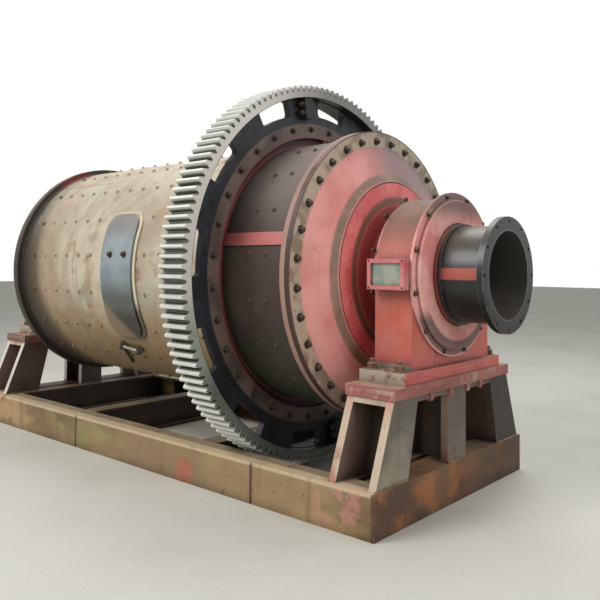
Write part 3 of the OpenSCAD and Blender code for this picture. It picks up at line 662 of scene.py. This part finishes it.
# %% Paint the pedestals
old_red = over(pot, (178, 104, 92), (150, 84, 70), cloudy(pot, 6, 0.4, 0.6, seed=0.8))
# Painted light and shade inside the hollow leg: lighter near its opening, where light comes in, dark deeper in.
hollow_shade = over(pot, (118, 96, 90), (30, 24, 23), fade(pot, y, -0.44, -0.32))
outside = layered(
    pot, (128, 120, 106),
    ((88, 82, 74), cloudy(pot, 4.2, 0.34, 0.6, detail=7, seed=16.2)),
    ((62, 67, 60), fade(pot, z, 0.34, 0.54), 0.8),
    ((150, 142, 120), fade(pot, z, 0.34, 0.22), 0.6),
    ((72, 61, 55), fade(pot, y, -0.28, -0.1), 0.8),
    ((50, 43, 38), fade(pot, y, 0.1, 0.3), 0.9),
    # Near black towards the feed end: painted shade.
    ((40, 36, 35), fade(pot, x, 0.2, -0.2), 0.85),
)
coat = layered(
    pot, old_red,
    ((204, 186, 162), cloudy(pot, 3.4, 0.36, 0.52, detail=8, seed=7.2, roughness=0.62), 0.95),
    ((200, 126, 114), fade(pot, z, 0.46, 0.6), 0.6),
    (hollow_shade, turned_in, 0.9),
    ((220, 220, 214), far_edges, 0.8),
    ((128, 106, 94), both(pot, near_edges, fade(pot, y, -0.3, -0.16)), 0.6),
    ((56, 46, 40), both(pot, near_edges, fade(pot, y, 0.1, 0.3)), 0.85),
    (outside, turned_out, 0.9),
    ((30, 26, 24), both(pot, turned_out, fade(pot, y, 0.3, 0.44)), 0.85),
)
finishes["pedestal_paint"] = aged(
    pot, coat, coat, scale=1.6, rust=0.45, dust=0.3, runs=0.5, grime_and_shade=0.85, wear=0.3, edge_tint=(226, 212, 190),
)
pot = new_pot("rib_coat")
coat = layered(
    pot, (80, 66, 56),
    ((54, 54, 46), cloudy(pot, 4, 0.4, 0.6, seed=3.0)),
    ((204, 186, 162), beyond(pot, "Z", 0.558, 0.564), 0.9),
)
finishes["rib_paint"] = aged(pot, coat, (84, 60, 48), scale=1.6, rust=0.5, grime_and_shade=0.85, wear=0.3)
print("pedestals and their ribs painted")

# %% [markdown]
# ## The base frame
# The long beams are ochre that has gone to rust, with tan and green clouds drawn out along the beam, a spot
# of red, and pink patches near the discharge end. Their top edges are scuffed pale and carry a painted
# highlight, and what looks into the frame is dark with painted shade. The end beams went further and are brown
# rust, and painted shade makes the cross beams below the drum darker still.

# %% Rust the side beams
INDOORS_Y = 0.695
BEAM_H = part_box("side_beam_left")[1].z
pot = new_pot("frame_coat")
x, z = along(pot, "X"), along(pot, "Z")
red_spot = both(pot, band(pot, x, 0.5, 0.62, 0.05), fade(pot, z, 0.16, 0.08))
pink_end = both(pot, band(pot, x, 1.5, 1.83, 0.05), cloudy(pot, 9, 0.46, 0.56, seed=1.2))
# Faces that look into the frame, under the drum, take painted shade.
indoors_shade = fade(pot, reckon(pot, "ABSOLUTE", along(pot, "Y")), INDOORS_Y + 0.005, INDOORS_Y - 0.005)
coat = layered(
    pot, (148, 124, 92),
    ((120, 98, 68), cloudy(pot, 2.2, 0.38, 0.62, stretch=(0.5, 1, 1.6), seed=2.2)),
    ((190, 158, 112), cloudy(pot, 3.1, 0.5, 0.68, stretch=(0.5, 1, 1), seed=6.4), 0.7),
    ((150, 148, 96), cloudy(pot, 4.3, 0.54, 0.68, detail=4, stretch=(0.7, 1, 1), seed=33.3), 0.6),
    ((192, 96, 80), red_spot, 0.7),
    ((196, 136, 128), pink_end, 0.7),
    ((206, 192, 160), fade(pot, x, -1.7, -1.8), 0.6),
    ((188, 158, 116), band(pot, x, 0.72, 1.62, 0.12), 0.38),
    # A pale band on the top edge: scuffed paint with a painted highlight.
    ((222, 202, 166), fade(pot, z, BEAM_H - 0.02, BEAM_H - 0.012), 0.7),
    ((52, 40, 32), indoors_shade, 0.75),
)
finishes["frame_paint"] = aged(
    pot, coat, coat, scale=1.2, rust=0.45, dust=0.45, runs=0.45, grime_and_shade=0.75, wear=0.4, rust_tint=(140, 90, 54),
    edge_tint=(206, 184, 146),
)
print("beams", round(BEAM_H, 3), "m high")

# %% Rust the end beams and cross beams
pot = new_pot("end_coat")
# The cross beams under the drum take painted shade.
cross_beam_shade = fade(pot, reckon(pot, "ABSOLUTE", along(pot, "X")), 1.7, 1.6)
coat = layered(
    pot, (120, 84, 56),
    ((82, 56, 42), cloudy(pot, 2.6, 0.38, 0.6, seed=2.7)),
    ((166, 104, 54), cloudy(pot, 5, 0.5, 0.64, detail=7, seed=5.7), 0.75),
    ((54, 36, 24), beyond(pot, "Y", -0.4, 0.6), 0.8),
    ((46, 37, 31), cross_beam_shade, 0.85),
)
finishes["end_paint"] = aged(
    pot, coat, coat, rust=0.5, dust=0.35, runs=0.5, grime_and_shade=0.75, wear=0.35, edge_tint=(186, 140, 90),
)
print(len(finishes), "finishes so far")

# %% [markdown]
# ## Spouts and manhole
# The spouts are black, greyer inside the bore, and a red band was painted along each neck. The band follows
# the neck only: the distance to the axis keeps it off the flange and out of the bore. The manhole's cover is
# bare, blue-grey plate, brownish at the top and dark towards its lower end, with a tan lower left corner. Its
# saddle is pale cream, and dark low down as well.

# %% Blacken the spouts
NECK_R, NECK_BORE_R = 0.248, 0.222
MID_WALL_R = (NECK_R + NECK_BORE_R) / 2
pot = new_pot("spout_coat")
radius = off_axis(pot)
z = along(pot, "Z")
disc_and_bore = reckon(pot, "MAXIMUM", fade(pot, radius, NECK_R + 0.008, NECK_R + 0.018),
    fade(pot, radius, MID_WALL_R + 0.005, MID_WALL_R - 0.005))
red_band = both(
    pot, band(pot, z, 1.146, 1.203, 0.004),
    fade(pot, radius, NECK_R + 0.014, NECK_R + 0.004),
    beyond(pot, "Y", -0.1, -0.14),
    fade(pot, radius, MID_WALL_R + 0.001, MID_WALL_R + 0.007),
    fade(pot, reckon(pot, "ABSOLUTE", along(pot, "X")), 2.09, 2.084),
)
coat = layered(
    pot, (40, 42, 44),
    ((28, 38, 38), cloudy(pot, 3.6, 0.4, 0.6, seed=2.3)),
    ((30, 29, 27), fade(pot, z, 1.2, 1.4), 0.9),
    ((26, 25, 26), disc_and_bore, 0.95),
    ((74, 72, 68), fade(pot, radius, MID_WALL_R - 0.003, MID_WALL_R - 0.007), 0.9),
    ((182, 96, 82), red_band, 0.95),
)
finishes["spout_paint"] = aged(
    pot, coat, coat, scale=1.5, rust=0.12, dust=0.15, grime_and_shade=0.5, wear=0.45, runs=0.1, edge_tint=(168, 170, 172),
    shine=0.32,
)
print("spouts blackened")

# %% Finish the manhole's cover and saddle
pot = new_pot("manhole_coat")
z = along(pot, "Z")
lower_left = reckon(pot, "ADD", z, reckon(pot, "MULTIPLY", along(pot, "X"), 0.9))
coat = layered(
    pot, (150, 162, 168),
    ((122, 134, 142), cloudy(pot, 3, 0.38, 0.62, seed=2.6)),
    ((124, 116, 112), fade(pot, z, 1.32, 1.47), 0.7),
    ((64, 68, 58), fade(pot, z, 1.14, 0.98), 0.8),
    ((48, 38, 34), fade(pot, z, 0.95, 0.86), 0.9),
    ((140, 118, 90), fade(pot, lower_left, 0.78, 0.7), 0.85),
)
finishes["manhole_paint"] = aged(pot, coat, coat, rust=0.25, dust=0.35, grime_and_shade=0.2, shine=0.42)
pot = new_pot("saddle_coat")
coat = layered(
    pot, (226, 214, 190),
    ((200, 186, 162), cloudy(pot, 4, 0.4, 0.6, seed=2.5)),
    ((66, 52, 46), beyond(pot, "Z", 0.98, 0.9), 0.8),
)
finishes["saddle_paint"] = aged(pot, coat, coat, rust=0.3, dust=0.4, grime_and_shade=0.25)
print("manhole finished")

# %% [markdown]
# ## Liners, bushes and panes
# The liners, seen only through the mouths, are worn cast steel, and the bushes are yellow bearing metal. The
# panes are clouded plastic. Clear plastic would show an empty housing, so they are a hazy green-grey with a
# thin glossy coat instead.

# %% Finish the liners, bushes and panes
pot = new_pot("liner_cast", metallic=0.6)
finishes["liner_steel"] = aged(pot, (120, 112, 104), (92, 84, 76), dust=0.3, grime_and_shade=0.8, shine=0.5)
pot = new_pot("bearing_metal", metallic=0.8)
finishes["bush_metal"] = aged(pot, (184, 168, 118), (160, 140, 96), rust=0.0, dust=0.2, shine=0.35)
pot = new_pot("clouded_pane")
haze = layered(
    pot, (166, 170, 154),
    ((132, 150, 138), cloudy(pot, 14, 0.38, 0.62, detail=6, seed=1.6)),
    (GRIME_AND_SHADE, corner_grime_and_shade(pot, 0.05), 0.6),
)
gloss = put(pot, "MapRange", {"Value": cloud(pot, 25, seed=2.7), "To Min": 0.12, "To Max": 0.4})
into_shader(pot, {"Base Color": haze, "Roughness": gloss.outputs[0]})
pot["shader"].inputs["Coat Weight"].default_value = 0.4
finishes["pane_glass"] = pot
print(len(finishes), "finishes")

# %% [markdown]
# ## Hand out the finishes
# The record of the mill says which finish each CAD node takes. One loop puts every finish in place, and it
# stops with an error if a slot was forgotten.

# %% Give each node its finish
for part in frame["record"]["subparts"]:
    node = frame["nodes"][part["node"]]
    for holder in node.material_slots:
        holder.material = finishes[part["material_slot"]]["material"]

# %% [markdown]
# ## Bolts, nuts and washers
# The mill is held together by a few hundred bolts. Each one could be an object of its own, but that would make
# a long list of parts that all do the same thing. So we turn their shapes straight into one mesh for each
# bolt circle. A small lathe does it: a profile of radius and height is spun round the bolt's own axis, with
# six sides for a hexagon and more for a washer or a screw end. A fitter never stops every bolt with its flats
# in line, so each hexagon takes its turn from one seeded list, and the mill comes out the same each time.

# %% A lathe for small hardware
def ring_of(mesh, centre, across, beside, reach, sides, turn=0.0):
    angles = [turn + math.tau * k / sides for k in range(sides)]
    return [mesh.verts.new(centre + across * (reach * math.cos(angle)) + beside * (reach * math.sin(angle)))
            for angle in angles]


def skin(mesh, rings, closed=False):
    for low, high in zip(rings, rings[1:] + rings[:1] if closed else rings[1:]):
        for k in range(len(low)):
            after = (k + 1) % len(low)
            mesh.faces.new((low[k], low[after], high[after], high[k]))
    if not closed:
        mesh.faces.new(list(reversed(rings[0])))
        mesh.faces.new(rings[-1])


def lathe(mesh, place, out, profile, sides, turn=0.0):
    out = Vector(out).normalized()
    across = out.orthogonal().normalized()
    beside = out.cross(across)
    rings = [ring_of(mesh, Vector(place) + out * height, across, beside, reach, sides, turn)
             for reach, height in profile]
    skin(mesh, rings)


fitter = random.Random(7)


def hex_head(mesh, place, out, flats, screw=0.0):
    corner = flats / 2 / math.cos(math.pi / 6)
    washer = flats * 0.1
    top = washer + flats * 0.62
    lathe(mesh, place, out, [(flats * 0.78, -0.001), (flats * 0.78, washer * 0.8), (flats * 0.74, washer)], 18)
    hexagon = [(corner, washer), (corner, top - flats * 0.08), (corner * 0.86, top)]
    lathe(mesh, place, out, hexagon, 6, fitter.uniform(0, 1))
    if screw:
        lathe(mesh, place, out, [(flats * 0.3, top - 0.001), (flats * 0.3, top + screw - 0.002),
                                 (flats * 0.24, top + screw)], 10)


print("lathe ready")

# %% [markdown]
# A finished mesh becomes an object, takes its finish, and rides on the body that it is bolted or welded to,
# so that it turns with the drum or stays with the stand.


# %% Put a finished mesh on its body
def finish_piece(name, mesh, body, finish, smooth=False):
    data = bpy.data.meshes.new(name)
    bmesh.ops.recalc_face_normals(mesh, faces=mesh.faces)
    mesh.to_mesh(data)
    mesh.free()
    if smooth:
        data.shade_smooth()
    piece = bpy.data.objects.new(name, data)
    bpy.context.scene.collection.objects.link(piece)
    data.materials.append(finish["material"])
    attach(piece, body)
    print(name, len(data.polygons), "faces")


# %% Finishes for the hardware
pot = new_pot("bolt_black", metallic=0.4)
bolt_black = aged(
    pot, (58, 50, 46), (82, 62, 48), scale=5, rust=0.45, dust=0.35, grime_and_shade=0.5, wear=0.4, shine=0.45,
)
pot = new_pot("bolt_rusty", metallic=0.2)
bolt_rusty = aged(
    pot, (96, 66, 48), (132, 98, 70), scale=5, rust=0.6, dust=0.4, grime_and_shade=0.5, wear=0.3, shine=0.6,
)
print("two bolt finishes ready")

# %% [markdown]
# ## Bolt circles on the drum
# Thirty-two bolts hold each head on, and as many hold the gear to its flange. Typing every place would be
# long and hard to mend, so one list of angles serves all three circles.

# %% Bolt the heads and the gear
ENDS = (("discharge", 1), ("feed", -1))
BOLTS_ROUND = 32
BOLT_DEGREES = [(k + 0.5) * 360 / BOLTS_ROUND for k in range(BOLTS_ROUND)]
HEAD_RIM_T, HEAD_BOLT_R, HEAD_BOLT_FLATS = 0.03, 0.744, 0.029
for end, side in ENDS:
    ring = bmesh.new()
    for degrees in BOLT_DEGREES:
        place = around(side * (SHELL_END + HEAD_RIM_T), HEAD_BOLT_R, degrees)
        hex_head(ring, place, (side, 0, 0), HEAD_BOLT_FLATS, screw=0.006)
    finish_piece(end + "_head_bolts", ring, "drum", bolt_black)

GEAR_FLANGE_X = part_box("gear_mounting_flange")[1].x
GEAR_FLANGE_T, WEB_T = 0.036, 0.04
HUB_BOLT_R, HUB_BOLT_FLATS = 0.867, 0.026
ring = bmesh.new()
for degrees in BOLT_DEGREES:
    near = around(GEAR_FLANGE_X + WEB_T, HUB_BOLT_R, degrees)
    far = around(GEAR_FLANGE_X - GEAR_FLANGE_T, HUB_BOLT_R, degrees)
    hex_head(ring, near, (1, 0, 0), HUB_BOLT_FLATS, screw=0.008)
    hex_head(ring, far, (-1, 0, 0), HUB_BOLT_FLATS)
finish_piece("gear_hub_bolts", ring, "drum", bolt_black)

# %% [markdown]
# The gear comes in two halves. Lugs behind its rim meet at the split, and four studs draw each pair together.

# %% Join the gear halves
SPLIT_DEGREES, LUG_T = 99, 0.034
STUD_FLATS = 0.032
ring = bmesh.new()
for degrees in (SPLIT_DEGREES, SPLIT_DEGREES + 180):
    turn = math.radians(degrees)
    sideways = Vector((0, -math.sin(turn), math.cos(turn)))
    for x in (0.813, 0.914):
        for radius in (0.962, 1.014):
            middle = around(x, radius, degrees)
            hex_head(ring, middle + sideways * LUG_T, sideways, STUD_FLATS, screw=0.014)
            hex_head(ring, middle - sideways * LUG_T, -sideways, STUD_FLATS)
finish_piece("gear_joint_studs", ring, "drum", bolt_black)

# %% [markdown]
# ## Liner bolts
# The liners inside are held by bolts whose nuts show all over the shell, in rows along the drum. They are the
# freckles of a ball mill. Each is a washer, a nut and a stud end, painted along with the plate round it, so
# their finish follows the shell's zones. Nuts that would stand on the manhole's saddle are left out.

# %% Colour the liner nuts
pot = new_pot("liner_nut", metallic=0.1)
nut_tint = layered(
    pot, (180, 164, 138),
    ((136, 114, 84), beyond(pot, "Z", 1.06, 0.6)),
    ((82, 68, 52), beyond(pot, "X", -1.02, -1.12)),
    ((76, 66, 60), beyond(pot, "X", 0.8, 0.84)),
)
nut_coat = aged(
    pot, nut_tint, nut_tint, scale=5, rust=0.6, dust=0.3, grime_and_shade=0.3, wear=0.15, shine=0.6,
    edge_tint=(176, 158, 130),
)
print("nut coat has", len(pot["tree"].nodes), "nodes")


# %% Set the liner bolts
def outward_at(degrees):
    return around(0, 1, degrees) - around(0, 0, degrees)


LINER_ROWS, FIRST_ROW_DEGREES = 20, 11
FIRST_NUT_X, NUT_PITCH = -1.13, 0.1435
NUT_PLACES = [FIRST_NUT_X + NUT_PITCH * k for k in range(14)] + [1.045, 1.165]
WASHER = [(0.016, -0.002), (0.0155, 0.002), (0.013, 0.003)]
NUT = [(0.0105, 0.002), (0.0105, 0.009), (0.009, 0.011)]
STUD_END = [(0.0055, 0.01), (0.0055, 0.013), (0.0045, 0.014)]
saddle_low, saddle_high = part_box("manhole_saddle")
nuts = bmesh.new()
made = 0
for row in range(LINER_ROWS):
    degrees = FIRST_ROW_DEGREES + row * 360 / LINER_ROWS
    outward = outward_at(degrees)
    for x in NUT_PLACES:
        if saddle_low.x - 0.03 < x < saddle_high.x + 0.03 and 148 < degrees < 218:
            continue
        place = around(x, SHELL_R, degrees)
        lathe(nuts, place, outward, WASHER, 14)
        lathe(nuts, place, outward, NUT, 6, fitter.uniform(0, 1))
        lathe(nuts, place, outward, STUD_END, 8)
        made += 1
finish_piece("liner_bolts", nuts, "drum", nut_coat)
print(made, "liner bolts")

# %% [markdown]
# ## Welds
# A weld is a bead laid along the corner between two plates. A swept circle would look like a hose, so the
# bead's thickness ripples a little from point to point, as the pool of steel does when it freezes. Its rings
# need a direction to start from, so we give them one that is askew to every seam.

# %% A helper that lays a bead
ASKEW = Vector((0.31, 0.27, 0.91))


def bead(mesh, points, thickness, closed=False, ripple=0.25, sides=6):
    rings = []
    count = len(points)
    for k, point in enumerate(points):
        before = points[k - 1] if closed or k else points[0]
        after = points[(k + 1) % count] if closed or k < count - 1 else points[-1]
        ahead = (Vector(after) - Vector(before)).normalized()
        across = ahead.cross(ASKEW).normalized()
        reach = thickness * (1 + fitter.uniform(-ripple, ripple))
        rings.append(ring_of(mesh, Vector(point), across, ahead.cross(across), reach, sides))
    skin(mesh, rings, closed)


def line_of(start, end, step=0.012):
    start, end = Vector(start), Vector(end)
    count = max(2, int((end - start).length / step))
    return [start.lerp(end, k / count) for k in range(count + 1)]


print("bead helper ready")

# %% [markdown]
# The shell was rolled from three plates. Flat seams run round it where they meet and along it where each
# plate closes, and thicker fillets hold its end flanges. These beads were painted over with the shell.

# %% Weld the drum
FAR_SEAM_X, NEAR_SEAM_X, SEAM_STOP_X = -0.62, 0.4, 0.76
SEAM_R, FILLET_R = SHELL_R - 0.001, SHELL_R + 0.001
SEAM_T, FILLET_T = 0.004, 0.008
drum_welds = bmesh.new()
for places, radius, thickness in (((FAR_SEAM_X, NEAR_SEAM_X), SEAM_R, SEAM_T),
                                  ((FAR_FLANGE_X, NEAR_FLANGE_X), FILLET_R, FILLET_T)):
    for x in places:
        bead(drum_welds, [around(x, radius, k * 1.2) for k in range(300)], thickness, closed=True)
stops = (FAR_FLANGE_X, FAR_SEAM_X, NEAR_SEAM_X, SEAM_STOP_X)
for start, end, degrees in zip(stops, stops[1:], (128, 262, 128)):
    bead(drum_welds, line_of(around(start, SEAM_R, degrees), around(end, SEAM_R, degrees)), SEAM_T)
finish_piece("drum_welds", drum_welds, "drum", finishes["shell_paint"], smooth=True)

# %% [markdown]
# ## Manhole hardware
# Two bolts pull the manhole's cover against its saddle. Below it a short rod sits between two lugs that are
# welded to the shell, to lift the cover's weight when it comes off. A square lug is a lathe's job too, with
# four sides, and the rods are beads that hardly ripple.

# %% Bolt the manhole's cover
COVER_R = 0.7896
COVER_BOLT_DEGREES, COVER_BOLT_FLATS = 173, 0.027
bolts = bmesh.new()
for x in (-0.156, -0.01):
    place = around(x, COVER_R, COVER_BOLT_DEGREES)
    hex_head(bolts, place, outward_at(COVER_BOLT_DEGREES), COVER_BOLT_FLATS, screw=0.005)
finish_piece("manhole_bolts", bolts, "drum", bolt_black)

# %% Weld the lugs on and lay the lifting rod in
LUG = [(0.03, -0.004), (0.027, 0.03), (0.02, 0.038)]
LUG_PIN = [(0.012, 0.03), (0.012, 0.046), (0.009, 0.049)]
lugs = bmesh.new()
for x, degrees in ((-0.253, 219), (-0.097, 221)):
    place, outward = around(x, SHELL_R, degrees), outward_at(degrees)
    lathe(lugs, place, outward, LUG, 4, 0.6)
    lathe(lugs, place, outward, LUG_PIN, 10)
handle = line_of(around(-0.253, SHELL_R + 0.022, 219), around(-0.335, SHELL_R + 0.012, 233))
bead(lugs, handle, 0.009, ripple=0.05)
finish_piece("lifting_lugs", lugs, "drum", bolt_black)
rod = bmesh.new()
rod_line = line_of(around(-0.25, SHELL_R + 0.024, 219), around(-0.1, SHELL_R + 0.024, 221))
bead(rod, rod_line, 0.011, ripple=0.03, sides=10)
pot = new_pot("rod_steel", metallic=0.5)
rod_grey = aged(pot, (176, 174, 164), (140, 136, 126), scale=5, rust=0.2, dust=0.3, grime_and_shade=0.5, shine=0.4)
finish_piece("lifting_rod", rod, "drum", rod_grey, smooth=True)

# %% [markdown]
# ## Bearing hardware
# Twelve screws hold each seal cover, four small ones each window frame, and heavy bolts each foot flange. The
# nuts below the sole plate were painted with it. The feed end is the mirror image of the discharge end, so one
# loop over the two ends serves both, with the sign of X as its only difference.

# %% Measure the bearing
SEAL_RING_T, FOOT_T = 0.022, 0.06
foot_low, foot_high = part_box("discharge_bearing_base")
sole_low, sole_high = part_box("discharge_sole_plate")
window_low, window_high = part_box("discharge_sight_windows")
bearing_mid = (foot_low.x + foot_high.x) / 2
outer_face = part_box("discharge_outer_seal")[1].x - SEAL_RING_T
inner_face = 2 * bearing_mid - outer_face
print("middle of the bearing at", round(bearing_mid, 3))

# %% Screw on the covers, windows and feet
SEAL_SCREW_R, SEAL_SCREW_FLATS = 0.41, 0.018
FOOT_BOLT_Y, FOOT_BOLT_X, FOOT_BOLT_FLATS = 0.462, 0.08, 0.046
WINDOW_SCREW = [(0.006, -0.002), (0.006, -0.001), (0.005, 0.003)]
SOLE_NUT = [(0.02, -0.001), (0.02, 0.028), (0.013, 0.04)]
for end, side in ENDS:
    screws = bmesh.new()
    for k in range(12):
        for face, way in ((outer_face, side), (inner_face, -side)):
            place = around(side * face, SEAL_SCREW_R, 13 + 30 * k)
            hex_head(screws, place, (way, 0, 0), SEAL_SCREW_FLATS)
    for y in (window_low.y, window_high.y):
        for x in (window_low.x + 0.01, window_high.x - 0.01):
            for z in (window_low.z + 0.01, window_high.z - 0.01):
                lathe(screws, (side * x, y, z), (0, math.copysign(1, y), 0), WINDOW_SCREW, 8)
    finish_piece(end + "_bearing_screws", screws, "stand", bolt_black)
    feet = bmesh.new()
    for y in (-FOOT_BOLT_Y, FOOT_BOLT_Y):
        for x in (bearing_mid - FOOT_BOLT_X, bearing_mid + FOOT_BOLT_X):
            place = (side * x, y, sole_high.z + FOOT_T)
            hex_head(feet, place, (0, 0, 1), FOOT_BOLT_FLATS, screw=0.02)
    finish_piece(end + "_foot_bolts", feet, "stand", bolt_rusty)
    sole_nuts = bmesh.new()
    for y in (-0.265, -0.08, 0.108, 0.254):
        for face, way in ((OUTER_FACE_X, 1), (2 * bearing_mid - OUTER_FACE_X, -1)):
            lathe(sole_nuts, (side * (face - way * 0.004), y, sole_low.z), (0, 0, -1), SOLE_NUT, 6, 0.5)
    finish_piece(end + "_sole_nuts", sole_nuts, "stand", finishes["sole_paint"])

# %% [markdown]
# ## Frame welds
# Beads run along the feet of the pedestals, up the four corners of the base frame, and up the side beams
# where two lengths were butted together. Unlike the drum's, these welds were never painted, so they have a
# brown finish of their own.

# %% Weld the pedestals and the frame
LEG_FOOT, LEG_INSIDE, POST = 0.735, 0.47, 0.095
BEAM_FACE_Y = 0.76
CORNER_X, CORNER_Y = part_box("side_beam_left")[1].x, BEAM_FACE_Y - 0.003
pot = new_pot("weld_bead", metallic=0.3)
weld_brown = aged(pot, (120, 96, 74), (92, 68, 52), scale=5, rust=0.5, dust=0.3, grime_and_shade=0.6, shine=0.5)
frame_welds = bmesh.new()
for side in (-1, 1):
    for face in (OUTER_FACE_X, INNER_FACE_X):
        for start, end in ((-LEG_FOOT, -LEG_INSIDE), (-POST, POST), (LEG_INSIDE, LEG_FOOT)):
            bead(frame_welds, line_of((side * face, start, BEAM_H), (side * face, end, BEAM_H)), 0.008)
    for y in (-1, 1):
        corner = (side * CORNER_X, y * CORNER_Y)
        bead(frame_welds, line_of((*corner, 0.006), (*corner, BEAM_H - 0.004)), 0.006)
        for x in (-0.545, 1.081):
            joint = (x, y * BEAM_FACE_Y)
            bead(frame_welds, line_of((*joint, 0.008), (*joint, BEAM_H - 0.004)), 0.006, ripple=0.35)
finish_piece("frame_welds", frame_welds, "stand", weld_brown, smooth=True)
